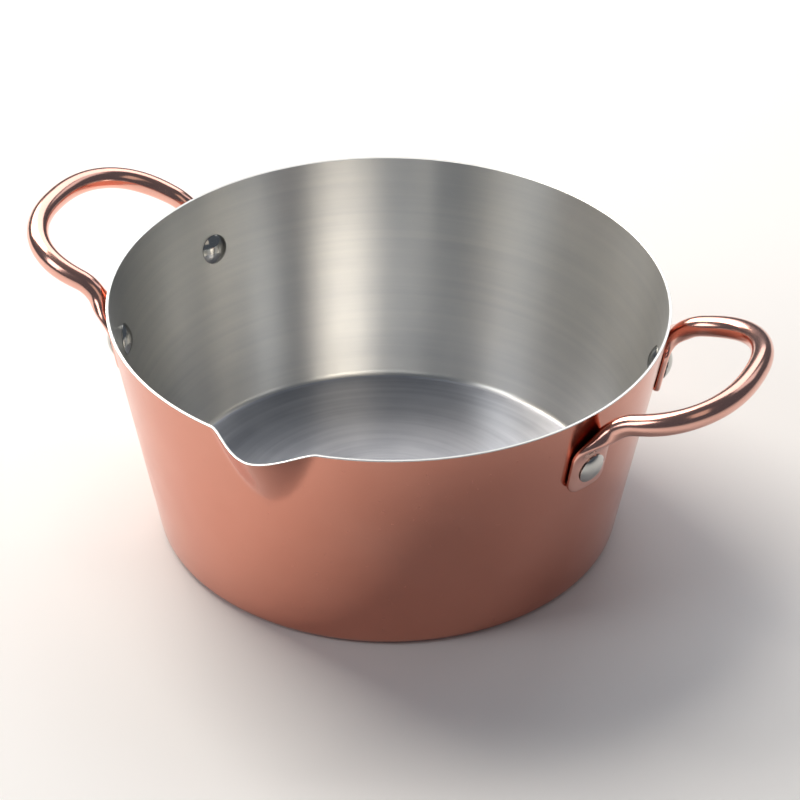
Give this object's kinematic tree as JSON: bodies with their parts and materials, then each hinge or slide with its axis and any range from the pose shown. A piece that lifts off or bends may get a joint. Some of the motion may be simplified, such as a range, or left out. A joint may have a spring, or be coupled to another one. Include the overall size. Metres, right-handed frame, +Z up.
{
  "type": "two-handled saucepan",
  "caption": "Flared copper saucepan with a steel lining, a pressed pouring lip and riveted copper loop handles on opposite sides.",
  "frame": {"origin": "centre of the flat underside, on the axis of the round body", "axes": "+Z up through the mouth; +X towards the right handle and -X towards the left one; -Y towards the pouring lip"},
  "size_m": [0.2822, 0.2116, 0.1011],
  "materials": {
    "copper_outside": "satin-polished copper",
    "steel_inside": "fine circular brushing",
    "copper_handles": "mirror-polished copper",
    "rivet_steel": "polished steel"
  },
  "bodies": {
    "root": {"copper_shell": "copper_outside", "steel_lining": "steel_inside", "handle_right": "copper_handles", "rivet_right_front": "rivet_steel", "rivet_right_back": "rivet_steel", "handle_left": "copper_handles", "rivet_left_front": "rivet_steel", "rivet_left_back": "rivet_steel"}
  },
  "joints": []
}
